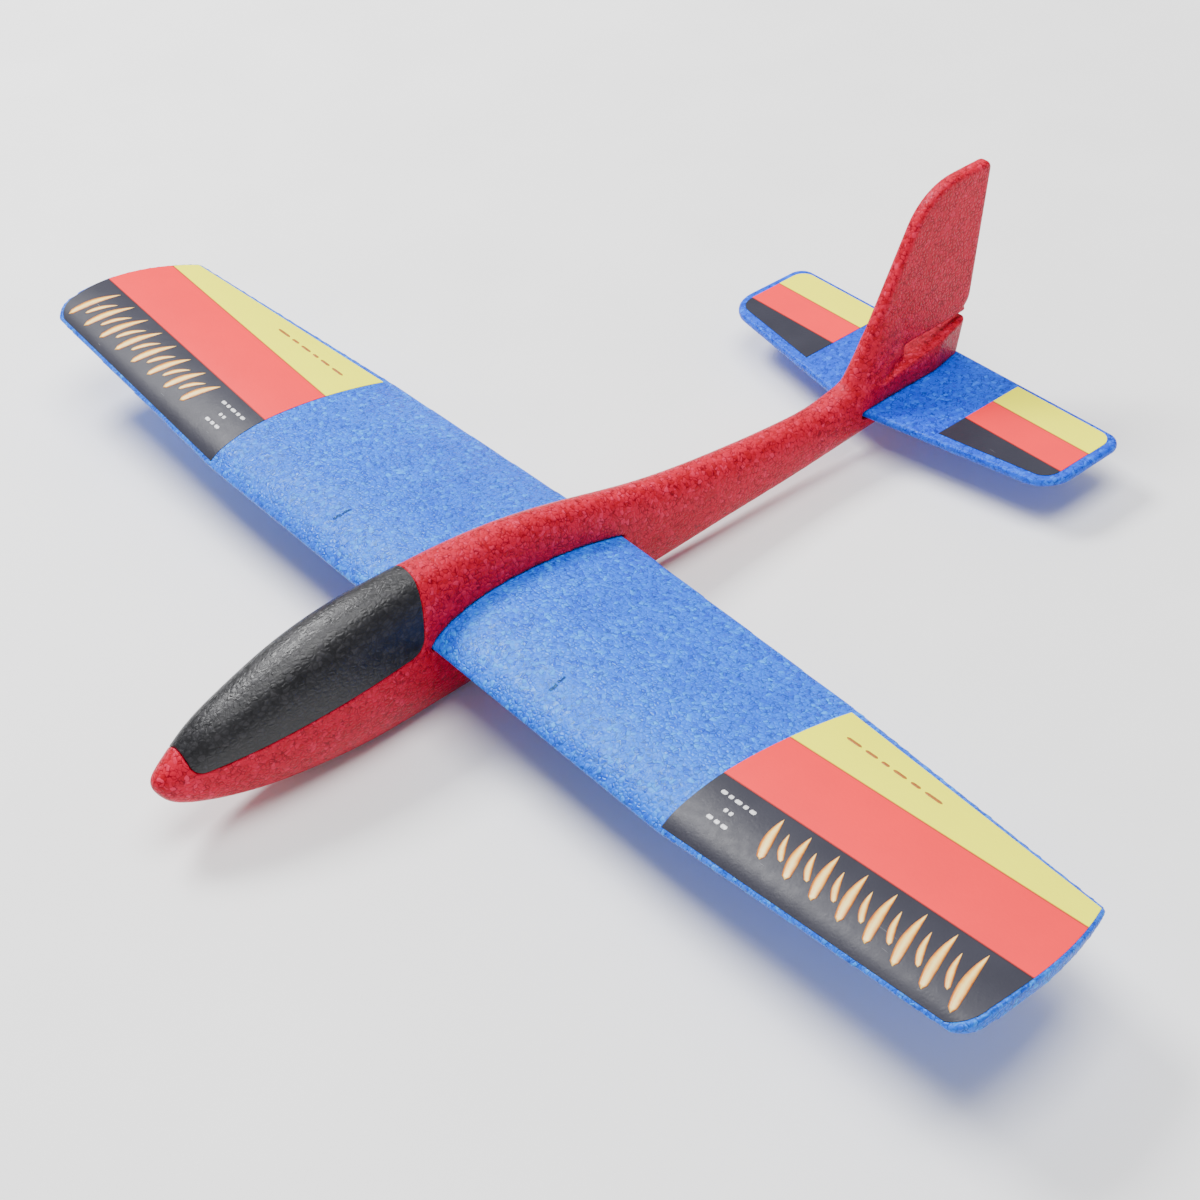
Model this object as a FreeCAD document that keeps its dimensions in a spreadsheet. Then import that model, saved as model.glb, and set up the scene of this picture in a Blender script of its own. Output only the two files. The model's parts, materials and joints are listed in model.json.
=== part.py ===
import FreeCAD, Part
import math
import os
import Sketcher

# Free-flight foam glider, millimetres. +Z up, the nose points along -Y and the port wing along +X.
# The origin is on the plane of symmetry, half way from nose to fin tip, at the level of the belly land.
# The fuselage and fin are one moulding; the two wing halves push over a joiner rod into sockets in its
# sides, and the tailplane pushes into a slot from behind.

Vector = FreeCAD.Vector
os.makedirs("parts", exist_ok=True)
doc = FreeCAD.newDocument("glider")

# ---------------------------------------------------------------- driving dimensions
DIMENSIONS = {
    "overall_length": 435.6,
    "half_span": 298.4,
    # fuselage
    "squareness": 2.4,
    "nose_height": 29.5,
    "web_half": 4,
    "stern_half": 7.4,
    "stern_start": 171,
    "stern_end": 189.4,
    "stern_lean": 0.32,
    # wing: one chord line for both panels, the outer panel raised
    "root_gap": 0.5,
    "panel_break": 151,
    "wing_front": -99.5,
    "root_chord": 99.5,
    "break_chord": 95.5,
    "tip_front": -95.6,
    "tip_chord": 73.5,
    "wing_height": 35.2,
    "tip_rise": 12.4,
    "incidence": 2.2,
    "camber": 0.055,
    "tip_camber": 0.042,
    "thickness": 0.085,
    "tip_thickness": 0.06,
    "edge_thickness": 1.6,
    "socket_gap": 0.35,
    # joiner rod
    "rod_radius": 2,
    "rod_half": 74,
    "rod_back": 21.5,
    "rod_fit": 0.06,
    "bore_depth": 2,
    # tailplane
    "tail_half": 101.6,
    "tail_front": 135.3,
    "tail_tip_front": 152,
    "tail_rear": 198,
    "tail_top": 23.3,
    "tail_thick": 4.0,
    "tail_corner": 16,
    "tail_rear_corner": 7.5,
    "tail_edge": 1.8,
    "slot_gap": 0.3,
    # fin
    "fin_thick": 6.6,
    "fin_top": 111.2,
    "fin_base": 30,
    "fin_front": 129.6,
    "fin_shoulder": 181.6,
    "fin_foot": 204.3,
    "fin_shoulder_curve": 32,
    "fin_foot_curve": 10,
    "fin_tip_curve": 3,
    "fin_edge": 2.1,
    "notch_front": 164.8,
    "notch_top": 41.9,
    "slit_front": 145.2,
    "slit_height": 31.7,
    "ledge_rise": 0.143,
    "foot_half": 7.3,
    "foot_base": 26,
    "foot_top": 62,
    # canopy
    "canopy_thick": 2.5,
    "canopy_front": -204.2,
    "canopy_rear": -103.3,
    "canopy_sill": 32,
    "canopy_sill_rear": 36.5,
    "canopy_rake": -96,
    "canopy_seam": 0.25,
    # ballast in the nose
    "ballast_radius": 5.5,
    "ballast_length": 22,
    "ballast_front": -201,
    # printed vinyl bands
    "film": 0.22,
    "film_margin": 1.4,
    "wing_band": 153,
    "wing_band_front": -98,
    "wing_band_black": -68.8,
    "wing_band_red": -37.5,
    "wing_band_rear": -7.6,
    "band_slope": 4.4,
    "tail_band": 41.8,
    "tail_band_front": 147,
    "tail_band_black": 163,
    "tail_band_red": 180,
    "tail_band_rear": 195.4,
}

sheet = doc.addObject("Spreadsheet::Sheet", "dims")
for row, (alias, value) in enumerate(DIMENSIONS.items(), start=1):
    sheet.set("A%d" % row, alias)
    sheet.set("B%d" % row, str(value))
    sheet.setAlias("B%d" % row, alias)
doc.recompute()


def dim(alias):
    return float(sheet.get(alias))


# ---------------------------------------------------------------- helpers
def evaluate(text):
    """The value of an expression in the sheet's aliases, as a number."""
    return float(sheet.evalExpression(text.replace("dims.", "")))


def plane_of(body, role):
    return next(f for f in body.Origin.OriginFeatures if f.Role == role)


def padded_outline(label, role, corners, length, symmetric=False, start=None, lean=None):
    """A body padded from a polygon whose corners are pairs of expressions in the sheet.

    A third entry in a corner names the radius that rounds the edge there.
    """
    body = doc.addObject("PartDesign::Body", label)
    sketch = body.newObject("Sketcher::SketchObject", label + "_outline")
    sketch.AttachmentSupport = [(plane_of(body, role), "")]
    sketch.MapMode = "FlatFace"
    if start:
        sketch.setExpression(".AttachmentOffset.Base.z", start)
    values = [(evaluate(c[0]), evaluate(c[1])) for c in corners]
    count = len(corners)
    for i, (u, v) in enumerate(values):
        u2, v2 = values[(i + 1) % count]
        sketch.addGeometry(Part.LineSegment(Vector(u, v, 0), Vector(u2, v2, 0)), False)
    for i in range(count):
        sketch.addConstraint(Sketcher.Constraint("Coincident", i, 2, (i + 1) % count, 1))
    for i, corner in enumerate(corners):
        for kind, value, text in zip(("DistanceX", "DistanceY"), values[i], corner):
            index = sketch.addConstraint(Sketcher.Constraint(kind, -1, 1, i, 1, value))
            sketch.setExpression("Constraints[%d]" % index, text)
    pad = body.newObject("PartDesign::Pad", label + "_pad")
    pad.Profile = sketch
    if symmetric:
        pad.SideType = "Symmetric"
    if lean:
        pad.UseCustomVector = True
        pad.Direction = Vector(0, lean, 1)
    pad.setExpression("Length", length)
    doc.recompute()
    for corner, (u, v) in zip(corners, values):
        if len(corner) > 2:
            round_corner(body, sketch, u, v, corner[2])
    return body


def round_corner(body, sketch, u, v, radius):
    """Fillet the straight edge that the pad raised from one corner of its sketch."""
    normal = sketch.Placement.Rotation.multVec(Vector(0, 0, 1))
    foot = sketch.Placement.multVec(Vector(u, v, 0))
    tip = body.Tip
    for i, edge in enumerate(tip.Shape.Edges, start=1):
        rise = (edge.Vertexes[-1].Point - edge.Vertexes[0].Point).dot(normal)
        if abs(rise) > 0.1 and edge.distToShape(Part.Vertex(foot))[0] < 1e-4:
            name = "Edge%d" % i
    fillet = body.newObject("PartDesign::Fillet", sketch.Label + "_round")
    fillet.Base = (tip, [name])
    fillet.setExpression("Radius", radius)
    doc.recompute()


def round_edges(body, radius, wanted):
    """Fillet the edges of a body's last feature that a test picks out."""
    tip = body.Tip
    names = ["Edge%d" % i for i, edge in enumerate(tip.Shape.Edges, start=1) if wanted(edge)]
    fillet = body.newObject("PartDesign::Fillet", body.Label + "_edges")
    fillet.Base = (tip, names)
    fillet.setExpression("Radius", radius)
    doc.recompute()


def shape_object(label, shape):
    item = doc.addObject("Part::Feature", label)
    item.Shape = shape
    return item


def loft(label, sections, ruled=True):
    item = doc.addObject("Part::Loft", label)
    item.Sections = sections
    item.Solid = True
    item.Ruled = ruled
    return item


def cut(label, base, tool):
    item = doc.addObject("Part::Cut", label)
    item.Base, item.Tool, item.Refine = base, tool, False
    return item


def common(label, base, tool):
    item = doc.addObject("Part::Common", label)
    item.Base, item.Tool, item.Refine = base, tool, False
    return item


def fuse(label, *items):
    item = doc.addObject("Part::MultiFuse", label)
    item.Shapes, item.Refine = list(items), False
    return item


def mirrored(label, source):
    """The starboard twin of a port sub-part."""
    item = doc.addObject("Part::Mirroring", label)
    item.Source = source
    item.Normal = Vector(1, 0, 0)
    return item


def cross_rod(label, radius, half_length, y, z):
    """A cylinder along X, centred on the plane of symmetry."""
    rod = doc.addObject("Part::Cylinder", label)
    rod.setExpression("Radius", radius)
    rod.setExpression("Height", "2 * (%s)" % half_length)
    rod.Placement = FreeCAD.Placement(Vector(0, y, z), FreeCAD.Rotation(Vector(0, 1, 0), 90))
    rod.setExpression(".Placement.Base.x", "-(%s)" % half_length)
    return rod


# ---------------------------------------------------------------- fuselage hull
# Stations: distance behind the nose, underside, top line, half breadth.
STATIONS = [
    (0.9, 26.4, 32.2, 2.8),
    (3.0, 22.8, 34.0, 5.0),
    (9.5, 17.6, 38.2, 8.0),
    (20.5, 12.6, 45.0, 11.0),
    (37.5, 7.4, 51.4, 14.4),
    (62.0, 2.8, 58.8, 16.9),
    (91.0, -0.4, 63.6, 17.3),
    (120, -1.0, 64.5, 15.6),
    (159, -0.6, 62.5, 13.3),
    (197, 2.4, 55.0, 10.8),
    (236, 4.2, 44.2, 10.0),
    (275, 6.1, 37.3, 9.3),
    (314, 7.4, 33.2, 8.5),
    (334, 8.6, 33.0, 8.2),
    (350, 9.4, 36.4, 8.0),
    (366, 10.2, 41.5, 7.7),
    (384, 11.2, 44.0, 7.5),
    (407, 13.5, 44.4, 7.4),
    (420, 16.5, 44.4, 7.4),
]
SECTION_POINTS = 24


def hull_section(y, bottom, top, half):
    """A superellipse: flatter sides than an ellipse, round top and bottom."""
    power = 2 / dim("squareness")
    points = []
    for k in range(SECTION_POINTS):
        turn = 2 * math.pi * k / SECTION_POINTS
        across = math.copysign(abs(math.cos(turn)) ** power, math.cos(turn))
        upward = math.copysign(abs(math.sin(turn)) ** power, math.sin(turn))
        height = (top + bottom) / 2 + (top - bottom) / 2 * upward
        points.append(Vector(half * across, y, height))
    curve = Part.BSplineCurve()
    curve.interpolate(points, PeriodicFlag=True)
    return Part.Wire([curve.toShape()])


def hull_shape(inset=0.0):
    """The fuselage without its fin, or the same body drawn in by an inset."""
    nose = -dim("overall_length") / 2
    sections = [
        hull_section(nose + behind, bottom + inset, top - inset, half - inset)
        for behind, bottom, top, half in STATIONS
        if half > 2.5 * inset
    ]
    if not inset:
        sections.insert(0, Part.Vertex(Vector(0, nose, dim("nose_height"))))
    return Part.makeLoft(sections, True)


hull = shape_object("hull", hull_shape())
core = shape_object("hull_core", hull_shape(dim("canopy_thick")))

stern = padded_outline(
    "stern_outline",
    "XY_Plane",
    [
        ("-40", "-0.6 * dims.overall_length"),
        ("40", "-0.6 * dims.overall_length"),
        ("40", "dims.stern_start - 20"),
        ("dims.stern_half", "dims.stern_start"),
        ("dims.stern_half / 2", "dims.stern_end", "3"),
        ("-dims.stern_half / 2", "dims.stern_end", "3"),
        ("-dims.stern_half", "dims.stern_start"),
        ("-40", "dims.stern_start - 20"),
    ],
    "100",
    lean=dim("stern_lean"),
)

fin = padded_outline(
    "fin",
    "YZ_Plane",
    [
        ("dims.fin_front", "dims.fin_base"),
        ("dims.notch_front - 1", "dims.fin_base"),
        ("dims.notch_front - 1", "dims.notch_top"),
        ("dims.fin_foot", "dims.notch_top + 0.7", "dims.fin_foot_curve"),
        ("dims.overall_length / 2 + 0.67", "dims.fin_top", "dims.fin_tip_curve"),
        ("dims.fin_shoulder", "dims.fin_top", "dims.fin_shoulder_curve"),
    ],
    "dims.fin_thick",
    symmetric=True,
)
round_edges(
    fin,
    "dims.fin_edge",
    lambda edge: abs(edge.BoundBox.XLength) < 1e-6
    and edge.BoundBox.ZMax > dim("notch_top") + 1
    and edge.BoundBox.ZMin > dim("fin_base") - 1
    and not edge.BoundBox.ZMax < dim("notch_top") + 1.5,
)

# The foot of the fin spreads into the boom: wide and low in front, as thin as the fin at the notch.
def foot_section(label, height, rows):
    """A horizontal outline from (y, half breadth) rows, front to rear."""
    side = [Vector(half, y, height) for y, half in rows]
    points = side + [Vector(-p.x, p.y, p.z) for p in reversed(side)]
    return shape_object(label, Part.makePolygon(points + points[:1]))


half_fin = dim("fin_thick") / 2
foot_low = [
    (dim("fin_front") - 6, dim("foot_half") / 2),
    (dim("fin_front") + 4, dim("foot_half")),
    (dim("slit_front") - 1, dim("foot_half") - 0.3),
    (dim("notch_front") - 1, half_fin),
]
foot_lean = (dim("fin_shoulder") - dim("fin_front")) / (dim("fin_top") - dim("fin_base"))
front_high = dim("fin_front") + (dim("foot_top") - dim("fin_base")) * foot_lean
foot_high = [
    (front_high + 0.5, half_fin - 1.2),
    (front_high + 4, half_fin),
    (front_high + 8, half_fin),
    (dim("notch_front") - 1, half_fin),
]
fin_foot = loft(
    "fin_foot",
    [
        foot_section("foot_low", dim("foot_base"), foot_low),
        foot_section("foot_high", dim("foot_top"), foot_high),
    ],
)

# The notch lies between the fin and the tongue that covers the tailplane.
ledge_rear = "dims.slit_height + dims.ledge_rise * (dims.notch_front + 50 - dims.slit_front)"
notch = padded_outline(
    "notch",
    "YZ_Plane",
    [
        ("dims.notch_front", "dims.slit_height + dims.ledge_rise * (dims.notch_front - dims.slit_front)"),
        ("dims.notch_front + 50", ledge_rear),
        ("dims.notch_front + 50", "dims.notch_top + 1.1"),
        ("dims.notch_front", "dims.notch_top", "1.6"),
    ],
    "40",
    symmetric=True,
)

# Above the tongue the boom is trimmed to the fin, which leaves a ledge that opens out rearwards.
above_ledge = padded_outline(
    "above_ledge",
    "YZ_Plane",
    [
        ("dims.slit_front - 8", "dims.slit_height - 8 * dims.ledge_rise"),
        ("dims.notch_front + 50", ledge_rear),
        ("dims.notch_front + 50", "60"),
        ("dims.slit_front - 8", "60"),
    ],
    "60",
    symmetric=True,
)
beside_fin = padded_outline(
    "beside_fin",
    "XY_Plane",
    [
        ("dims.foot_half + 1.5", "dims.slit_front - 8"),
        ("20", "dims.slit_front - 8"),
        ("20", "dims.notch_front + 50"),
        ("dims.fin_thick / 2", "dims.notch_front + 50"),
        ("dims.fin_thick / 2", "dims.notch_front"),
    ],
    "60",
)
ledge = common("ledge", above_ledge, beside_fin)
ledge_right = mirrored("ledge_right", ledge)

tail_slot = doc.addObject("Part::Box", "tail_slot")
tail_slot.setExpression("Length", "6 * dims.stern_half")
tail_slot.setExpression("Width", "dims.overall_length / 4")
tail_slot.setExpression("Height", "dims.tail_thick + 2 * dims.slot_gap")
tail_slot.setExpression(".Placement.Base.x", "-3 * dims.stern_half")
tail_slot.setExpression(".Placement.Base.y", "dims.tail_front - dims.slot_gap")
tail_slot.setExpression(".Placement.Base.z", "dims.tail_top - dims.tail_thick - dims.slot_gap")

# Everything below z = 0 is planed off, which leaves the flat land that the glider rests on.
below = doc.addObject("Part::Box", "below_land")
below.setExpression("Length", "80")
below.setExpression("Width", "dims.overall_length")
below.setExpression("Height", "20")
below.setExpression(".Placement.Base.x", "-40")
below.setExpression(".Placement.Base.y", "-dims.overall_length / 2")
below.setExpression(".Placement.Base.z", "-20")

# ---------------------------------------------------------------- wing sections
SECTION_STEPS = 9


def camber_height(x, camber):
    """Mean line with its crest at 40% of the chord, in chords."""
    crest = 0.4
    if x < crest:
        return camber / crest**2 * (2 * crest * x - x * x)
    return camber / (1 - crest) ** 2 * (1 - 2 * crest + 2 * crest * x - x * x)


def half_thickness(x, thickness):
    """Half thickness of the classic four-digit section, in chords."""
    return thickness / 0.2 * (
        0.2969 * math.sqrt(x) - 0.126 * x - 0.3516 * x**2 + 0.2843 * x**3 - 0.1036 * x**4
    )


def wing_point(x, side, front, chord, height, camber, thickness, grow=0.0):
    """A point of the upper (side 1) or lower (side -1) surface, as (y, z)."""
    slope = math.tan(math.radians(dim("incidence")))
    edge = dim("edge_thickness") / 2 * min(1.0, math.sqrt(8 * x))
    rise = chord * (camber_height(x, camber) + side * half_thickness(x, thickness))
    y = front + chord * x + grow * (2 * x - 1)
    return y, height - chord * x * slope + rise + side * (edge + grow * min(1.0, 8 * x))


def wing_section(label, at_x, grow=0.0, **form):
    """A closed section wire in the plane x = at_x: one curve round the nose, and the blunt rear edge."""
    sweep = [0.5 - 0.5 * math.cos(math.pi * k / SECTION_STEPS) for k in range(SECTION_STEPS + 1)]
    upper = [wing_point(x, 1, grow=grow, **form) for x in reversed(sweep)]
    lower = [wing_point(x, -1, grow=grow, **form) for x in sweep[1:]]
    points = [Vector(at_x, y, z) for y, z in upper + lower]
    curve = Part.BSplineCurve()
    curve.interpolate(points)
    rear = Part.LineSegment(points[-1], points[0])
    return shape_object(label, Part.Wire([curve.toShape(), rear.toShape()]))


root_form = {
    "front": dim("wing_front"),
    "chord": dim("root_chord"),
    "height": dim("wing_height"),
    "camber": dim("camber"),
    "thickness": dim("thickness"),
}
break_form = dict(root_form, chord=dim("break_chord"))
tip_form = {
    "front": dim("tip_front"),
    "chord": dim("tip_chord"),
    "height": dim("wing_height") + dim("tip_rise"),
    "camber": dim("tip_camber"),
    "thickness": dim("tip_thickness"),
}
root_x = dim("web_half") + dim("root_gap")
tip_x = dim("half_span") + 1.0


def lifted(form, lift):
    return dict(form, height=form["height"] + lift)


inner_panel = loft(
    "inner_panel",
    [
        wing_section("root_section", root_x, **root_form),
        wing_section("break_section", dim("panel_break"), **break_form),
    ],
)
outer_panel = loft(
    "outer_panel",
    [
        wing_section("break_section_out", dim("panel_break"), **break_form),
        wing_section("tip_section", tip_x, **tip_form),
    ],
)
film_block = loft(
    "film_block",
    [
        wing_section("break_film", dim("panel_break"), **lifted(break_form, dim("film"))),
        wing_section("tip_film", tip_x, **lifted(tip_form, dim("film"))),
    ],
)
socket = loft(
    "socket",
    [
        wing_section("socket_floor", dim("web_half"), grow=dim("socket_gap"), **root_form),
        wing_section("socket_mouth", 10 * dim("web_half"), grow=dim("socket_gap"), **root_form),
    ],
)
socket_right = mirrored("socket_right", socket)


# ---------------------------------------------------------------- wing tip outline in plan
def edge_y(x, rear):
    """Where the outer panel's leading or trailing edge lies at x."""
    part = (x - dim("panel_break")) / (tip_x - dim("panel_break"))
    first = dim("wing_front") + rear * dim("break_chord")
    last = dim("tip_front") + rear * dim("tip_chord")
    return first + part * (last - first)


def arc(first, middle, last):
    return Part.Arc(first, middle, last).toShape()


def line(first, last):
    return Part.LineSegment(first, last).toShape()


def tip_edges(inset, ahead, last):
    """The rounded tip, from a point ahead of or behind the leading edge to a last point at the rear."""
    span = dim("half_span") - inset
    front = Vector(span - 9.4, edge_y(span - 9.4, 0) - ahead, 0)
    side = front + Vector(8.2, 11.9, 0)
    return [
        arc(front, front + Vector(5.8, 4.2, 0), side),
        arc(side, Vector(span - 0.4, side.y + 22, 0), last),
    ]


def prism(label, wire, low=0.0, high=90.0):
    face = Part.Face(wire)
    face.translate(Vector(0, 0, low))
    return shape_object(label, face.extrude(Vector(0, 0, high - low)))


def tip_outline():
    """Plan of a wing half: open-sided well clear of its edges, closed only round the tip."""
    span = dim("half_span")
    clear = dim("film")
    knuckle = Vector(span - 8.8, edge_y(span, 1) - 2.4, 0)
    last = Vector(span - 15.4, edge_y(span - 15.4, 1) + clear, 0)
    edges = tip_edges(0, 2 * clear, knuckle)
    edges.append(arc(knuckle, knuckle + Vector(-2.0, 3.2, 0), last))
    first = edges[0].Vertexes[0].Point
    inner = Vector(-10, 0, 0)
    behind = Vector(0, 60, 0)
    ahead = Vector(0, -160, 0)
    points = [last, last + behind, inner + behind, inner + ahead, Vector(first.x, ahead.y, 0), first]
    edges += [line(a, b) for a, b in zip(points, points[1:])]
    return Part.Wire(edges)


tip_prism = prism("tip_prism", tip_outline())

# ---------------------------------------------------------------- joiner rod
rod_share = dim("rod_back") / dim("root_chord")
rod_y = dim("wing_front") + dim("rod_back")
rod_z = sum(wing_point(rod_share, side, **root_form)[1] for side in (1, -1)) / 2
joiner_rod = cross_rod("joiner_rod", "dims.rod_radius", "dims.rod_half", rod_y, rod_z)
rod_bore = cross_rod(
    "rod_bore", "dims.rod_radius + dims.rod_fit", "dims.rod_half + dims.bore_depth", rod_y, rod_z
)

# ---------------------------------------------------------------- wings
wing_blank = fuse("wing_blank", inner_panel, outer_panel)
wing_trimmed = common("wing_trimmed", wing_blank, tip_prism)
wing_left = cut("wing_left", wing_trimmed, rod_bore)
wing_right = mirrored("wing_right", wing_left)


# ---------------------------------------------------------------- printed bands on the wings
def band_line(alias, x):
    """The boundaries between bands run parallel to the leading edge."""
    run = (x - dim("wing_band")) / (tip_x - dim("wing_band"))
    return dim(alias) + run * dim("band_slope")


def wing_film_outline():
    """The whole sticker in plan: square inner end, rounded tip, inset from the wing's edges."""
    inset = dim("film_margin")
    last = Vector(dim("half_span") - 11.6, edge_y(dim("half_span"), 1) - 0.2, 0)
    edges = tip_edges(inset, -inset, last)
    first = edges[0].Vertexes[0].Point
    inner_rear = Vector(dim("wing_band"), dim("wing_band_rear"), 0)
    inner_front = Vector(dim("wing_band"), dim("wing_band_front"), 0)
    edges += [line(last, inner_rear), line(inner_rear, inner_front), line(inner_front, first)]
    return Part.Wire(edges)


def strip(label, front, rear):
    """The part of the plan between two band boundaries."""
    near, far = dim("wing_band") - 5, dim("half_span") + 5
    points = [
        Vector(near, front(near), 0),
        Vector(far, front(far), 0),
        Vector(far, rear(far), 0),
        Vector(near, rear(near), 0),
    ]
    return prism(label, Part.makePolygon(points + points[:1]))


film_prism = prism("film_prism", wing_film_outline())
film_sheet = cut("film_sheet", common("film_slab", film_block, film_prism), outer_panel)
band_edges = [
    lambda x: -130.0,
    lambda x: band_line("wing_band_black", x),
    lambda x: band_line("wing_band_red", x),
    lambda x: 30.0,
]
wing_bands = []
for name, front, rear in zip(("black", "red", "yellow"), band_edges, band_edges[1:]):
    left = common("wing_left_band_" + name, film_sheet, strip("strip_" + name, front, rear))
    wing_bands += [left, mirrored("wing_right_band_" + name, left)]

# ---------------------------------------------------------------- tailplane and its bands
tailplane = padded_outline(
    "tailplane",
    "XY_Plane",
    [
        ("-dims.tail_half", "dims.tail_tip_front", "dims.tail_corner"),
        ("0", "dims.tail_front"),
        ("dims.tail_half", "dims.tail_tip_front", "dims.tail_corner"),
        ("dims.tail_half - 1", "dims.tail_rear", "dims.tail_rear_corner"),
        ("-dims.tail_half + 1", "dims.tail_rear", "dims.tail_rear_corner"),
    ],
    "dims.tail_thick",
    start="dims.tail_top - dims.tail_thick",
)
round_edges(tailplane, "dims.tail_edge", lambda edge: abs(edge.BoundBox.ZLength) < 1e-6)

tail_bands = []
TAIL_BANDS = [
    ("black", "dims.tail_band_front", "dims.tail_band_black", "dims.tail_corner / 2", None),
    ("red", "dims.tail_band_black", "dims.tail_band_red", None, None),
    ("yellow", "dims.tail_band_red", "dims.tail_band_rear", None, "dims.tail_rear_corner - 1"),
]
for name, front, rear, front_round, rear_round in TAIL_BANDS:
    # the black band's front edge follows the swept leading edge
    sweep = " + 8.6" if name == "black" else ""
    outer_front = ["dims.tail_half - 4.6", front + sweep]
    outer_rear = ["dims.tail_half - 4.8", rear]
    if front_round:
        outer_front.append(front_round)
    if rear_round:
        outer_rear.append(rear_round)
    left = padded_outline(
        "tail_left_band_" + name,
        "XY_Plane",
        [("dims.tail_band", front), tuple(outer_front), tuple(outer_rear), ("dims.tail_band", rear)],
        "dims.film",
        start="dims.tail_top",
    )
    tail_bands += [left, mirrored("tail_right_band_" + name, left)]

# ---------------------------------------------------------------- ballast
ballast = doc.addObject("Part::Cylinder", "nose_ballast")
ballast.setExpression("Radius", "dims.ballast_radius")
ballast.setExpression("Height", "dims.ballast_length")
ballast.Placement = FreeCAD.Placement(
    Vector(0, 0, dim("nose_height")), FreeCAD.Rotation(Vector(1, 0, 0), -90)
)
ballast.setExpression(".Placement.Base.y", "dims.ballast_front")

# ---------------------------------------------------------------- canopy
def canopy_outline(label, seam):
    """Side view of the canopy, drawn in by the seam."""
    grow = "%s * dims.canopy_seam" % seam
    return padded_outline(
        label,
        "YZ_Plane",
        [
            ("dims.canopy_front - 1.7 + " + grow, "80"),
            ("dims.canopy_front + " + grow, "dims.canopy_sill + " + grow, "5"),
            ("dims.canopy_rear - " + grow, "dims.canopy_sill_rear + " + grow, "8"),
            ("dims.canopy_rake + 3.5 - " + grow, "80"),
        ],
        "60",
        symmetric=True,
    )


recess = cut("canopy_recess", canopy_outline("recess_outline", 0), core)
canopy_blank = common("canopy_blank", hull, canopy_outline("canopy_outline", 1))
canopy = cut("canopy", canopy_blank, core)

# ---------------------------------------------------------------- fuselage
hull_stern = common("hull_stern", hull, stern)
hull_trim = cut("hull_trim", cut("hull_trim_port", hull_stern, ledge), ledge_right)
with_fin = fuse("hull_with_fin", hull_trim, fin, fin_foot)
shaped = with_fin
for tool in (notch, tail_slot, below, socket, socket_right, recess, rod_bore, ballast):
    shaped = cut("fuselage_less_" + tool.Label, shaped, tool)
shaped.Label = "fuselage"
fuselage = shaped

doc.recompute()

# ---------------------------------------------------------------- check and write
NODES = [fuselage, canopy, ballast, joiner_rod, wing_left, wing_right, tailplane]
NODES += wing_bands + tail_bands

for item in doc.Objects:
    if {"Invalid", "Error"} & set(item.State):
        raise RuntimeError("%s did not compute: %s" % (item.Label, item.State))
for node in NODES:
    shape = node.Shape
    if shape.isNull() or not shape.isValid():
        raise RuntimeError("%s has no valid shape" % node.Label)
    print(
        "%-24s %d solid(s) %9.1f mm3" % (node.Label, len(shape.Solids), shape.Volume),
        "x %.1f..%.1f y %.1f..%.1f z %.1f..%.1f"
        % (
            shape.BoundBox.XMin,
            shape.BoundBox.XMax,
            shape.BoundBox.YMin,
            shape.BoundBox.YMax,
            shape.BoundBox.ZMin,
            shape.BoundBox.ZMax,
        ),
    )
    shape.exportStep("parts/%s.step" % node.Label)
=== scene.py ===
"""Looks of the foam glider: bead-foam skins, printed film and a painted canopy on the CAD frame."""

import json
import math

import bmesh
import bpy
from mathutils import Matrix, Vector
from mathutils.bvhtree import BVHTree


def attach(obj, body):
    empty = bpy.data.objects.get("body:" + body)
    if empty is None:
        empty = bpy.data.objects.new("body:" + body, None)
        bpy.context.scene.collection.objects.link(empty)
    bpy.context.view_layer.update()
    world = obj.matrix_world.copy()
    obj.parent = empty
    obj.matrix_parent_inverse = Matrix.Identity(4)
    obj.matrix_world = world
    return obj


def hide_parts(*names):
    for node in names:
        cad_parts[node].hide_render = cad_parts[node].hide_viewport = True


MM = 0.001
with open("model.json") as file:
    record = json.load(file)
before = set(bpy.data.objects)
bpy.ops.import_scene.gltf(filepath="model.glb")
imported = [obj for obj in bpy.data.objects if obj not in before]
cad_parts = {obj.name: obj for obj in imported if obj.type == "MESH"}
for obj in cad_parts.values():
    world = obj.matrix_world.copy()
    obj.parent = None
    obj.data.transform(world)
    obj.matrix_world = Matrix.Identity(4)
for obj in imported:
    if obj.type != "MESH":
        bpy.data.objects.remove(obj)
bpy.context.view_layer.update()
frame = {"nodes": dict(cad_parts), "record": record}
SLOT_OF = {s["node"]: s["material_slot"] for s in frame["record"]["subparts"]}


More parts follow.
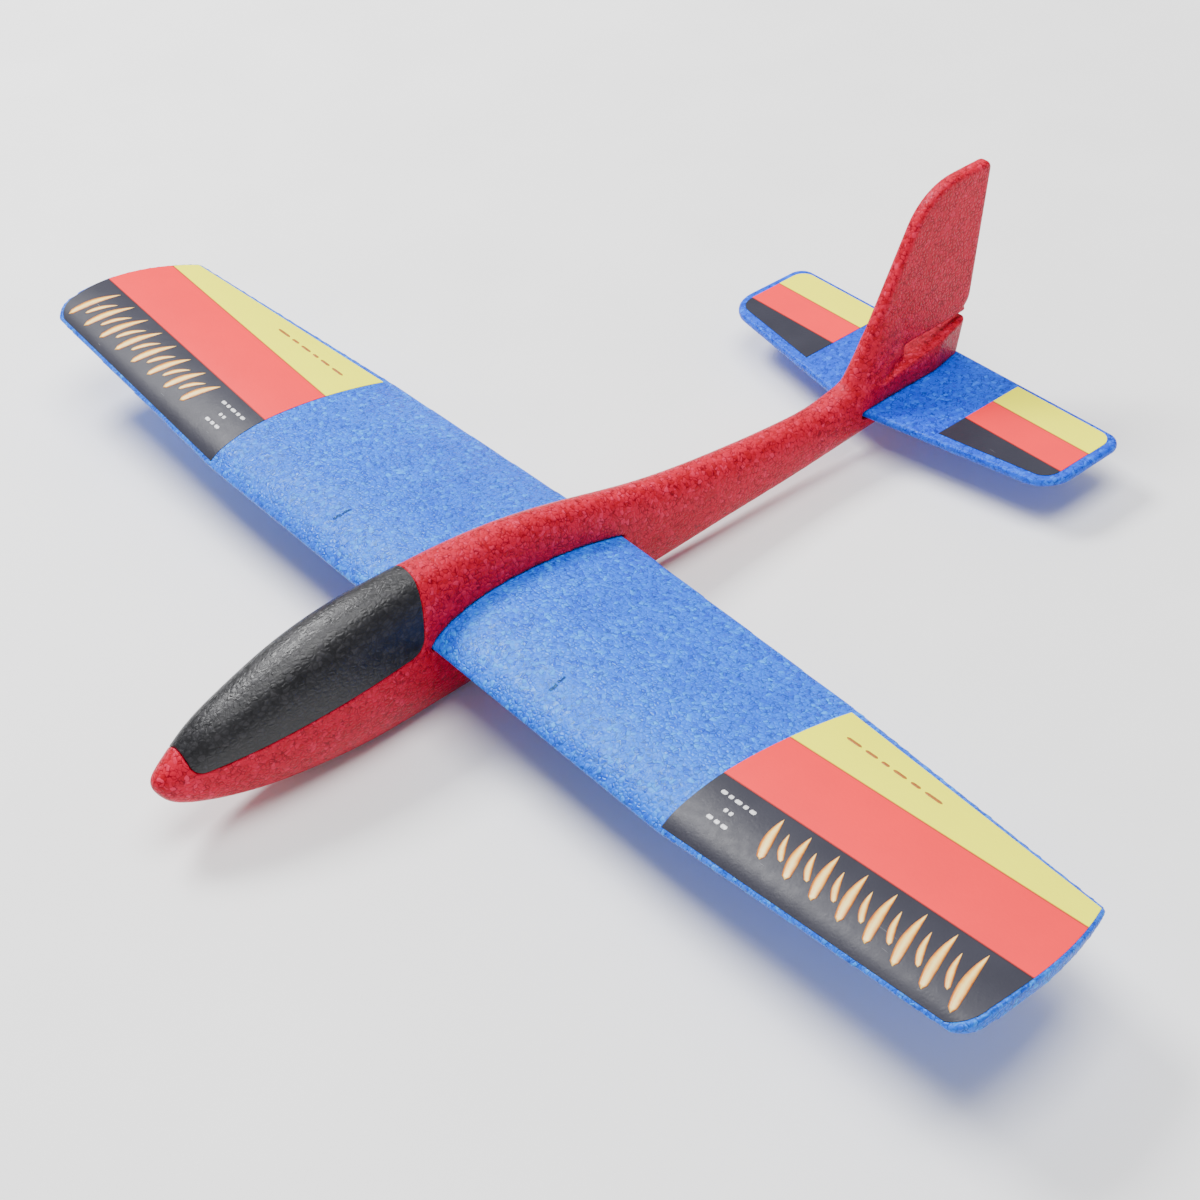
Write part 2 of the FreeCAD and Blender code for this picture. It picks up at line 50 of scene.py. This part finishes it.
# ---------------------------------------------------------------- node helpers
class Graph:
    """A short way to write a material's nodes. Sockets are passed by position or by name."""

    def __init__(self, name):
        self.material = bpy.data.materials.new(name)
        self.material.use_nodes = True
        self.tree = self.material.node_tree
        self.shader = self.tree.nodes["Principled BSDF"]
        coords = self.tree.nodes.new("ShaderNodeTexCoord")
        self.place = coords.outputs["Object"]
        self.mm = self.vector("SCALE", self.place, scale=1 / MM)

    def node(self, kind, inputs=(), **settings):
        made = self.tree.nodes.new(kind)
        for key, value in settings.items():
            setattr(made, key, value)
        for key, value in dict(inputs).items():
            self.feed(made.inputs[key], value)
        return made

    def feed(self, socket, value):
        if isinstance(value, bpy.types.NodeSocket):
            self.tree.links.new(value, socket)
        else:
            socket.default_value = value

    def math(self, operation, a, b=None, c=None, clamp=False):
        made = self.node("ShaderNodeMath", operation=operation, use_clamp=clamp)
        for socket, value in zip(made.inputs, (a, b, c)):
            if value is not None:
                self.feed(socket, value)
        return made.outputs[0]

    def vector(self, operation, a, b=None, scale=None):
        made = self.node("ShaderNodeVectorMath", operation=operation)
        self.feed(made.inputs[0], a)
        if b is not None:
            self.feed(made.inputs[1], b)
        if scale is not None:
            made.inputs["Scale"].default_value = scale
        return made.outputs[0]

    def noise(self, scale, detail=2.0, place=None, rough=0.5):
        inputs = {"Vector": place or self.mm, "Scale": scale, "Detail": detail, "Roughness": rough}
        return self.node("ShaderNodeTexNoise", inputs).outputs["Fac"]

    def fit(self, value, low, high, to_low=0.0, to_high=1.0):
        inputs = {0: value, 1: low, 2: high, 3: to_low, 4: to_high}
        return self.node("ShaderNodeMapRange", inputs, interpolation_type="SMOOTHSTEP").outputs[0]

    def ramp(self, value, *stops):
        made = self.node("ShaderNodeValToRGB", {"Fac": value})
        elements = made.color_ramp.elements
        while len(elements) < len(stops):
            elements.new(0.5)
        for element, (position, colour) in zip(elements, stops):
            element.position = position
            element.color = (*colour, 1)
        return made.outputs["Color"]

    def mix(self, factor, a, b, blend="MIX"):
        made = self.node("ShaderNodeMix", {0: factor}, data_type="RGBA", blend_type=blend)
        for socket, value in ((made.inputs[6], a), (made.inputs[7], b)):
            self.feed(socket, value if isinstance(value, bpy.types.NodeSocket) else (*value, 1))
        return made.outputs[2]

    def finish(self, colour, height, depth, roughness, strength=1.0, **constants):
        """Wire the shader: relief depth in millimetres, and anything that is the same all over."""
        bump = self.node("ShaderNodeBump", {"Strength": strength, "Distance": depth * MM, "Height": height})
        self.feed(self.shader.inputs["Base Color"], colour)
        self.feed(self.shader.inputs["Roughness"], roughness)
        self.feed(self.shader.inputs["Normal"], bump.outputs["Normal"])
        for name, value in constants.items():
            self.feed(self.shader.inputs[name.replace("_", " ")], value)
        return self.material


BEAD = 1.75  # across one fused bead of the foam, millimetres
CANOPY_BEAD = 1.7  # across one wrinkle of the canopy's paint


def beads(graph, size, stretch=(1.0, 1.0, 1.0)):
    """Fused beads: a random value per bead, 0 in a groove rising to 1 off it, and the relief."""
    wobble = graph.node("ShaderNodeTexNoise", {"Vector": graph.mm, "Scale": 0.35, "Detail": 1.0})
    shift = graph.vector("SCALE", wobble.outputs["Color"], scale=1.6)
    place = graph.vector("MULTIPLY", graph.vector("ADD", graph.mm, shift), stretch)
    inputs = {"Vector": place, "Scale": 1 / size, "Randomness": 0.9}
    cell = graph.node("ShaderNodeTexVoronoi", inputs, feature="F1")
    edge = graph.node("ShaderNodeTexVoronoi", inputs, feature="DISTANCE_TO_EDGE")
    pick = graph.node("ShaderNodeSeparateColor", {0: cell.outputs["Color"]}).outputs[0]
    groove = graph.fit(edge.outputs["Distance"], 0.0, 0.16)
    dome = graph.fit(edge.outputs["Distance"], 0.0, 0.42)
    relief = graph.math("ADD", dome, graph.math("MULTIPLY", pick, 0.2))
    return pick, groove, relief


def foam(name, deep, dark, mid, pale, sheen, specular, depth=0.12, crease_at=None):
    """Moulded bead foam: every bead its own tint, some junctions dark, a satin skin."""
    g = Graph(name)
    pick, groove, relief = beads(g, BEAD)
    tint = g.ramp(pick, (0.0, dark), (0.4, mid), (0.8, mid), (1.0, pale))
    broad = g.fit(g.noise(0.035, 3.0), 0.35, 0.7)
    tint = g.mix(g.math("MULTIPLY", broad, 0.35), tint, dark)
    patch = g.fit(g.noise(0.42, 3.0), 0.42, 0.62)
    junction = g.math("MULTIPLY", g.math("SUBTRACT", 1.0, groove), g.math("MULTIPLY_ADD", patch, 0.75, 0.15))
    colour = g.mix(junction, tint, deep)
    height = g.math("ADD", relief, g.math("MULTIPLY", g.noise(2.4, 2.0), 0.15))
    if crease_at:
        mark = crease(g, *crease_at)
        # The dents are pressed into the relief and also painted dark: painted shade in the creases.
        colour = g.mix(g.math("MULTIPLY", mark, 0.95), colour, tuple(0.4 * c for c in deep))
        height = g.math("SUBTRACT", height, g.math("MULTIPLY", mark, 2.0))
    roughness = g.fit(pick, 0.0, 1.0, 0.32, 0.48)
    gloss = {"Specular_IOR_Level": specular, "Specular_Tint": (*sheen, 1)}
    return g.finish(colour, height, depth, roughness, **gloss)


UPPER_SKIN = (38.0, 40.0)  # between a wing's lower and upper skin near the rod, millimetres up


def crease(g, x, y_low, y_high):
    """Two short dents end to end in the upper skin over the rod's end. All in millimetres."""
    middle, half = (y_low + y_high) / 2, (y_high - y_low) / 2
    axes = g.node("ShaderNodeSeparateXYZ", {0: g.mm})
    across = g.math("ABSOLUTE", axes.outputs[0])
    along = axes.outputs[1]
    wander = g.math("MULTIPLY", g.math("SUBTRACT", g.noise(0.5, 2.0), 0.5), 2.4)
    lean = g.math("MULTIPLY", g.math("SUBTRACT", along, middle), 0.12)
    off = g.math("ABSOLUTE", g.math("SUBTRACT", g.math("ADD", across, g.math("ADD", lean, wander)), x))
    line = g.fit(off, 0.35, 0.95, 1.0, 0.0)
    reach = g.math("ABSOLUTE", g.math("SUBTRACT", along, middle))
    ends = g.fit(reach, half - 1, half, 1.0, 0.0)
    gap = g.fit(reach, 0.1, 0.8, 0.0, 1.0)
    upper = g.fit(axes.outputs[2], *UPPER_SKIN)
    return g.math("MULTIPLY", g.math("MULTIPLY", line, ends), g.math("MULTIPLY", gap, upper))


BAND_START = 153.0  # inner end of a wing's bands, from the plane of symmetry, millimetres
BAND_SLOPE = 4.4 / 149.4  # their boundaries lean aft by 4.4 mm over 149.4 mm of span
WING_LINES = [(-68.8, BAND_SLOPE, BAND_START), (-37.5, BAND_SLOPE, BAND_START)]
TAIL_LINES = [(163.0, 0.0, 0.0), (180.0, 0.0, 0.0)]


def boundary_lines(g, lines_of_print):
    """Thin overlap lines of the print. Each line is y = start + slope (|x| - from_x), in millimetres."""
    axes = g.node("ShaderNodeSeparateXYZ", {0: g.mm})
    across = g.math("ABSOLUTE", axes.outputs[0])
    total = None
    for start, slope, from_x in lines_of_print:
        run = g.math("MULTIPLY", g.math("SUBTRACT", across, from_x), slope)
        off = g.math("ABSOLUTE", g.math("SUBTRACT", axes.outputs[1], g.math("ADD", run, start)))
        line = g.fit(off, 0.25, 0.6, 1.0, 0.0)
        total = line if total is None else g.math("MAXIMUM", total, line)
    return total


def film(name, base, shade, line_colour, scuffs=False):
    """Printed adhesive film: flat ink, faint beads showing through, ink overlaps at the boundaries."""
    g = Graph(name)
    relief = beads(g, BEAD)[2]
    cloud = g.fit(g.noise(0.05, 4.0), 0.3, 0.75)
    colour = g.mix(g.math("MULTIPLY", cloud, 0.4), base, shade)
    grain = g.fit(g.noise(5.0, 2.0), 0.3, 0.7)
    colour = g.mix(g.math("MULTIPLY", grain, 0.14), colour, shade)
    colour = g.mix(g.math("MULTIPLY", boundary_lines(g, WING_LINES + TAIL_LINES), 0.75), colour, line_colour)
    height = g.math("ADD", g.math("MULTIPLY", relief, 0.3), g.math("MULTIPLY", g.noise(0.3, 3.0), 0.8))
    if scuffs:
        turned = g.node("ShaderNodeMapping", {0: g.mm, 2: (0, 0, 0.5), 3: (0.05, 0.9, 0.3)})
        streak = g.fit(g.noise(1.0, 3.0, turned.outputs[0]), 0.70, 0.74)
        where = g.fit(g.noise(0.03, 1.0), 0.5, 0.62)
        mark = g.math("MULTIPLY", streak, where)
        colour = g.mix(g.math("MULTIPLY", mark, 0.5), colour, (0.45, 0.45, 0.48))
        height = g.math("ADD", height, g.math("MULTIPLY", mark, 0.8))
    roughness = g.fit(g.noise(0.3, 3.0), 0.3, 0.7, 0.38, 0.43)
    return g.finish(colour, height, 0.045, roughness, Specular_IOR_Level=0.25)


def canopy_paint(name):
    """Black paint over foam: shallow wrinkles drawn out lengthways, worn grey on the crests."""
    g = Graph(name)
    pick, groove, relief = beads(g, CANOPY_BEAD, stretch=(1.0, 0.62, 1.0))
    stops = (0.0, (0.008, 0.008, 0.010)), (0.6, (0.013, 0.013, 0.016)), (1.0, (0.022, 0.021, 0.025))
    tint = g.ramp(pick, *stops)
    worn = g.fit(g.noise(0.5, 4.0), 0.52, 0.7)
    tint = g.mix(g.math("MULTIPLY", worn, 0.15), tint, (0.06, 0.06, 0.068))
    colour = g.mix(g.math("MULTIPLY", g.math("SUBTRACT", 1.0, groove), 0.6), tint, (0.003, 0.003, 0.004))
    height = g.math("ADD", relief, g.math("MULTIPLY", g.noise(1.6, 3.0), 0.5))
    roughness = g.fit(pick, 0.0, 1.0, 0.34, 0.48)
    return g.finish(colour, height, 0.085, roughness, Specular_IOR_Level=0.38)


def rod_material(name):
    """Pultruded glass fibre: fine streaks along the rod."""
    g = Graph(name)
    drawn = g.node("ShaderNodeMapping", {0: g.mm, 3: (0.03, 3.0, 3.0)}).outputs[0]
    streak = g.noise(1.5, 4.0, drawn)
    colour = g.ramp(streak, (0.3, (0.5, 0.5, 0.42)), (0.7, (0.75, 0.74, 0.64)))
    return g.finish(colour, streak, 0.03, g.fit(streak, 0.3, 0.7, 0.25, 0.4), Coat_Weight=0.2)


def steel_material(name):
    """Turned steel: fine rings across the axis."""
    g = Graph(name)
    ringed = g.node("ShaderNodeMapping", {0: g.mm, 3: (0.05, 5.0, 0.05)}).outputs[0]
    ring = g.noise(1.0, 3.0, ringed)
    colour = g.ramp(ring, (0.3, (0.36, 0.36, 0.37)), (0.7, (0.52, 0.52, 0.54)))
    return g.finish(colour, ring, 0.02, g.fit(ring, 0.3, 0.7, 0.3, 0.45), Metallic=1.0)


def print_gold(name):
    """Gold print: orange at the edge of each stroke, cream along its middle."""
    g = Graph(name)
    glow = g.node("ShaderNodeAttribute", attribute_name="glow").outputs["Fac"]
    tone = g.math("ADD", glow, g.math("MULTIPLY", g.math("SUBTRACT", g.noise(0.35, 3.0), 0.5), 0.5))
    colour = g.ramp(tone, (0.0, (0.5, 0.11, 0.01)), (0.4, (0.88, 0.4, 0.03)), (0.85, (0.98, 0.76, 0.24)))
    return g.finish(colour, g.noise(2.0, 2.0), 0.03, g.fit(g.noise(0.6, 2.0), 0.3, 0.7, 0.28, 0.4))


def plain_ink(name, base, worn):
    """One-colour print, thinner where the press let up."""
    g = Graph(name)
    thin = g.fit(g.noise(1.2, 3.0), 0.4, 0.65)
    return g.finish(g.mix(thin, base, worn), g.noise(2.0, 2.0), 0.03, g.fit(thin, 0.0, 1.0, 0.3, 0.42))


BLUE = {
    "deep": (0.004, 0.02, 0.26),
    "dark": (0.002, 0.065, 0.64),
    "mid": (0.002, 0.14, 0.86),
    "pale": (0.015, 0.30, 1.0),
    "sheen": (0.3, 0.9, 1.0),
}
# Painted shade: the tailplane is the same foam as the wings, given darker copies of their blues.
SHADED_TAIL_BLUE = {
    "deep": (0.004, 0.014, 0.24),
    "dark": (0.003, 0.045, 0.58),
    "mid": (0.004, 0.085, 0.78),
    "pale": (0.012, 0.16, 0.95),
    "sheen": (0.3, 0.8, 1.0),
}
RED = {
    "deep": (0.14, 0.001, 0.005),
    "dark": (0.38, 0.004, 0.014),
    "mid": (0.54, 0.006, 0.032),
    "pale": (0.68, 0.022, 0.075),
    "sheen": (1.0, 0.3, 0.5),
}
MATERIALS = {
    "foam_blue": foam("foam_blue", specular=0.5, depth=0.2, crease_at=(73.0, -86.0, -77.0), **BLUE),
    "foam_red": foam("foam_red", specular=0.24, **RED),
    "canopy_shell": canopy_paint("canopy_paint"),
    "ballast_steel": steel_material("steel"),
    "glass_fibre": rod_material("glass_fibre"),
    "film_black": film("film_black", (0.018, 0.018, 0.03), (0.032, 0.032, 0.048), (0.03, 0.01, 0.012), True),
    "film_red": film("film_red", (0.95, 0.014, 0.026), (0.82, 0.016, 0.028), (0.28, 0.02, 0.01)),
    "film_yellow": film("film_yellow", (0.97, 0.97, 0.001), (0.92, 0.90, 0.002), (0.5, 0.2, 0.01)),
}
# The tailplane's foam, with painted shade in its colours.
SHADED_TAIL_FOAM = foam("foam_blue_tail_shaded", specular=0.3, **SHADED_TAIL_BLUE)
GOLD = print_gold("print_gold")
PALE_INK = plain_ink("print_pale", (0.72, 0.72, 0.74), (0.55, 0.55, 0.58))
BROWN_INK = plain_ink("print_brown", (0.42, 0.13, 0.01), (0.30, 0.09, 0.01))

for node, obj in frame["nodes"].items():
    obj.data.materials.clear()
    obj.data.materials.append(SHADED_TAIL_FOAM if node == "tailplane" else MATERIALS[SLOT_OF[node]])


# ---------------------------------------------------------------- skins with moulded edges
def new_object(name, mesh, material, body):
    mesh.materials.clear()
    mesh.materials.append(material)
    obj = bpy.data.objects.new(name, mesh)
    bpy.context.scene.collection.objects.link(obj)
    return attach(obj, body)


def applied(mesh, name, add_modifiers):
    """The mesh after the modifiers that add_modifiers puts on a passing object."""
    draft = bpy.data.objects.new(name + "_draft", mesh)
    bpy.context.scene.collection.objects.link(draft)
    add_modifiers(draft)
    evaluated = draft.evaluated_get(bpy.context.evaluated_depsgraph_get())
    made = bpy.data.meshes.new_from_object(evaluated)
    bpy.data.objects.remove(draft)
    made.name = name
    return made


WELD = 1e-6  # metres: doubled points of the frame's meshes lie within this
WING_VOXEL, WING_PASSES = 0.8 * MM, 5
HULL_VOXEL, HULL_PASSES = 0.7 * MM, 3
FIN_FOOT = (0, 134, 40)  # middle of the junction of fin and boom, millimetres
FIN_FOOT_REACH = (16, 22, 15)
FIN_FOOT_PASSES = 90


def rounded_copy(node, name, voxel, passes):
    """A copy of a CAD node whose sharp edges are softened the way moulded foam comes out."""
    mesh = frame["nodes"][node].data.copy()
    bm = bmesh.new()
    bm.from_mesh(mesh)
    bmesh.ops.remove_doubles(bm, verts=bm.verts, dist=WELD)
    bm.to_mesh(mesh)
    bm.free()

    def modifiers(draft):
        remesh = draft.modifiers.new("remesh", "REMESH")
        remesh.mode = "VOXEL"
        remesh.voxel_size = voxel
        remesh.use_smooth_shade = True
        smooth = draft.modifiers.new("smooth", "SMOOTH")
        smooth.factor = 0.5
        smooth.iterations = passes

    return applied(mesh, name, modifiers)


def blended(mesh, name, centre, radii, passes):
    """Smooth a mesh inside an ellipsoid, fading out at its surface, to blend a junction.

    centre and radii are in millimetres.
    """
    weights = []
    for vertex in mesh.vertices:
        off = [(c / MM - m) / r for c, m, r in zip(vertex.co, centre, radii)]
        weights.append(min(1.0, max(0.0, 1.6 * (1 - math.hypot(*off)))))

    def modifiers(draft):
        group = draft.vertex_groups.new(name="junction")
        for index, weight in enumerate(weights):
            if weight > 0:
                group.add([index], weight, "REPLACE")
        smooth = draft.modifiers.new("blend", "SMOOTH")
        smooth.vertex_group = "junction"
        smooth.factor = 0.5
        smooth.iterations = passes

    return applied(mesh, name, modifiers)


for side in ("left", "right"):
    node = "wing_" + side
    mesh = rounded_copy(node, node + "_skin", WING_VOXEL, WING_PASSES)
    skin = new_object(node + "_skin", mesh, MATERIALS["foam_blue"], node)
    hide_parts(node)

hull_mesh = rounded_copy("fuselage", "fuselage_draft", HULL_VOXEL, HULL_PASSES)
hull_mesh = blended(hull_mesh, "fuselage_skin", FIN_FOOT, FIN_FOOT_REACH, FIN_FOOT_PASSES)
hull_skin = new_object("fuselage_skin", hull_mesh, MATERIALS["foam_red"], "fuselage")
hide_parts("fuselage")


# ---------------------------------------------------------------- generic print on the bands
ABOVE = 0.2  # metres: a height over every part of the glider, to drop the print from
INK_LIFT = 0.05  # middle of the ink over the film, millimetres
INK_THICKNESS = 0.04
INK_TIP = 0.04  # half breadth at the two ends of a stroke
STEPS, ROWS = 14, 4  # faces along and across a stroke


def surface_of(node):
    """The surface of a CAD node, to drop print on."""
    mesh = frame["nodes"][node].data
    points = [v.co.copy() for v in mesh.vertices]
    return BVHTree.FromPolygons(points, [tuple(p.vertices) for p in mesh.polygons])


def leaf(t):
    """Relative half breadth along a stroke that is fullest before its middle and drawn out to its end."""
    return (1 - abs(2 * t - 0.75) ** 1.6 / 1.25**1.6) ** 0.8


def bar(t):
    """Relative half breadth along a plain dash with rounded ends."""
    return min(1.0, 6 * min(t, 1 - t)) ** 0.5


def strokes(name, node, body, shapes, outline, material):
    """Ink strokes laid on a band. Each shape is (start, end, breadth, bow), in millimetres in plan.

    The middle row of a stroke carries glow 1 and its edges 0.
    """
    tree = surface_of(node)
    verts, faces, glow = [], [], []
    for start, end, breadth, bow in shapes:
        start, end = Vector(start), Vector(end)
        side = (end - start).orthogonal().normalized()
        base = len(verts)
        for i in range(STEPS + 1):
            t = i / STEPS
            half = breadth / 2 * outline(t) if 0 < i < STEPS else INK_TIP
            centre = start.lerp(end, t) + side * bow * math.sin(math.pi * t)
            for j in range(ROWS + 1):
                s = 2 * j / ROWS - 1
                p = centre + side * half * s
                hit = tree.ray_cast(Vector((p.x * MM, p.y * MM, ABOVE)), Vector((0, 0, -1)))
                verts.append(hit[0] + hit[1] * INK_LIFT * MM)
                glow.append(1 - abs(s))
        for i in range(STEPS):
            for j in range(ROWS):
                a = base + i * (ROWS + 1) + j
                faces.append((a, a + 1, a + ROWS + 2, a + ROWS + 1))
    mesh = bpy.data.meshes.new(name)
    mesh.from_pydata([tuple(v) for v in verts], [], faces)
    layer = mesh.attributes.new("glow", "FLOAT", "POINT")
    layer.data.foreach_set("value", glow)
    mesh.shade_smooth()
    obj = new_object(name, mesh, material, body)
    solid = obj.modifiers.new("ink", "SOLIDIFY")
    solid.thickness = INK_THICKNESS * MM
    solid.offset = 0
    return obj


REED_COUNT = 15
REED_OUTER = 284.0  # distance of the outermost reed from the plane of symmetry, millimetres
REED_PITCH = 6.7
REED_ROW = -79.4  # y of the middle of the row
REED_REACH = (24.5, 14.0)  # long and short
REED_BREADTH = (4.4, 2.8)
REED_LEAN = 3.5
REED_BOW = 0.9


def reeds(sign):
    """Slanted tapering strokes, long and short in turn, all leaning the same way."""
    shapes = []
    for k in range(REED_COUNT):
        x = REED_OUTER - REED_PITCH * k
        reach = REED_REACH[k % 2] * (1 - 0.02 * k)
        middle = REED_ROW + 0.02 * k
        start = (sign * (x + REED_LEAN), middle - reach / 2)
        end = (sign * (x - REED_LEAN), middle + reach / 2)
        shapes.append((start, end, REED_BREADTH[k % 2], REED_BOW))
    return shapes


def dashes(sign, rows, breadth):
    """Rows of plain dashes. Each row is (y, first x, last x, slope, lengths of the dashes)."""
    shapes = []
    for y, first, last, slope, lengths in rows:
        space = (last - first - sum(lengths)) / (len(lengths) - 1)
        x = first
        for length in lengths:
            low, high = y + slope * (x - first), y + slope * (x + length - first)
            shapes.append(((sign * x, low), (sign * (x + length), high), breadth, 0.0))
            x += length + space
    return shapes


CORNER_BREADTH, EDGE_BREADTH = 1.7, 1.5
CORNER_ROWS = [
    (-86.0, 164.0, 174.5, 0.0, (3.0, 2.4, 3.0)),
    (-80.6, 167.0, 171.5, 0.0, (1.8, 1.8)),
    (-75.2, 159.5, 177.5, 0.0, (3.0, 2.2, 3.4, 2.2, 3.0)),
]
EDGE_ROW = [(-21.0, 165.0, 215.0, -0.035, (8.0, 6.5, 4.0, 7.0, 5.0, 9.0))]

for sign, side in ((1, "left"), (-1, "right")):
    wing = "wing_" + side
    black, yellow = wing + "_band_black", wing + "_band_yellow"
    corner = dashes(sign, CORNER_ROWS, CORNER_BREADTH)
    edge = dashes(sign, EDGE_ROW, EDGE_BREADTH)
    strokes(wing + "_print_reeds", black, wing, reeds(sign), leaf, GOLD)
    strokes(wing + "_print_corner", black, wing, corner, bar, PALE_INK)
    strokes(wing + "_print_edge", yellow, wing, edge, bar, BROWN_INK)


# ---------------------------------------------------------------- stage, light and camera
STUDIO_GLOW = 1.7  # strength of the pale backdrop that the camera sees
FLOOR_GLOW = 0.85 * STUDIO_GLOW  # what the floor gives off far from the lamps
LAMP_HEIGHT = 1.7
FLOOR_HALF = 6.0
FLOOR_DROP = 0.0004  # gap under the belly, so the two faces never coincide
AMBIENT = 0.32


def plain_plane(name, half, z):
    mesh = bpy.data.meshes.new(name)
    corners = [(-half, -half, z), (half, -half, z), (half, half, z), (-half, half, z)]
    mesh.from_pydata(corners, [], [(0, 1, 2, 3)])
    obj = bpy.data.objects.new(name, mesh)
    bpy.context.scene.collection.objects.link(obj)
    return obj


def floor_material():
    """Pale matt floor. Away from the lamps it glows as much as they fall off, so it stays even."""
    g = Graph("floor")
    colour = g.ramp(g.noise(0.01, 4.0), (0.3, (0.86, 0.86, 0.86)), (0.7, (0.9, 0.9, 0.9)))
    reach = g.node("ShaderNodeVectorMath", {0: g.place, 1: g.place}, operation="DOT_PRODUCT").outputs["Value"]
    share = g.math("DIVIDE", LAMP_HEIGHT**2, g.math("ADD", reach, LAMP_HEIGHT**2))
    lost = g.math("SUBTRACT", 1.0, g.math("MULTIPLY", share, share))
    g.feed(g.shader.inputs["Emission Color"], (1, 1, 1, 1))
    g.feed(g.shader.inputs["Emission Strength"], g.math("MULTIPLY", lost, FLOOR_GLOW))
    return g.finish(colour, g.noise(0.4, 3.0), 0.02, g.fit(g.noise(0.02), 0.3, 0.7, 0.55, 0.65))


floor = plain_plane("floor", FLOOR_HALF, -FLOOR_DROP)
floor.data.materials.append(floor_material())


def softbox(name, place, target, size, power):
    """A rectangular lamp aimed at a target: metres and watts."""
    light = bpy.data.lights.new(name, "AREA")
    light.shape = "RECTANGLE"
    light.size, light.size_y = size
    light.energy = power
    obj = bpy.data.objects.new(name, light)
    obj.location = place
    obj.rotation_euler = (Vector(target) - Vector(place)).to_track_quat("-Z", "Y").to_euler()
    bpy.context.scene.collection.objects.link(obj)


softbox("key", (-0.95, -0.10, 1.25), (0, -0.05, 0.03), (0.6, 0.45), 34)
softbox("overhead", (0.25, 0.05, 1.7), (0, 0, 0.03), (1.3, 1.0), 40)
softbox("rim", (-0.9, 0.9, 1.2), (0, 0, 0.03), (0.9, 0.6), 3)
softbox("fill", (1.4, -1.0, 0.9), (0, 0, 0.03), (1.2, 1.0), 2)

# The world lights the glider weakly, and the camera sees it as bright as the floor.
world = bpy.data.worlds.new("studio")
bpy.context.scene.world = world
world.use_nodes = True
background = world.node_tree.nodes["Background"]
background.inputs["Color"].default_value = (1, 1, 1, 1)
background.inputs["Strength"].default_value = AMBIENT
backdrop = world.node_tree.nodes.new("ShaderNodeBackground")
backdrop.inputs["Color"].default_value = (1, 1, 1, 1)
backdrop.inputs["Strength"].default_value = STUDIO_GLOW
path = world.node_tree.nodes.new("ShaderNodeLightPath")
choose = world.node_tree.nodes.new("ShaderNodeMixShader")
links = world.node_tree.links
links.new(path.outputs["Is Camera Ray"], choose.inputs[0])
links.new(background.outputs[0], choose.inputs[1])
links.new(backdrop.outputs[0], choose.inputs[2])
links.new(choose.outputs[0], world.node_tree.nodes["World Output"].inputs["Surface"])

camera_data = bpy.data.cameras.new("camera")
camera = bpy.data.objects.new("camera", camera_data)
bpy.context.scene.collection.objects.link(camera)
bpy.context.scene.camera = camera
# Directions of the view: to its right, down it, and away from the camera.
RIGHT = Vector((0.61928, 0.77977, -0.09188))
DOWN = Vector((0.45733, -0.45335, -0.76506))
AHEAD = Vector((-0.63823, 0.43177, -0.63737))
pose = Matrix((RIGHT, -DOWN, -AHEAD)).transposed().to_4x4()
pose.translation = (0.6279, -0.4346, 0.6203)
camera.matrix_world = pose
camera_data.sensor_width = 36.0
camera_data.lens = 70.5
camera_data.shift_x = 0.0012
camera_data.shift_y = 0.0073
camera_data.clip_start = 0.05
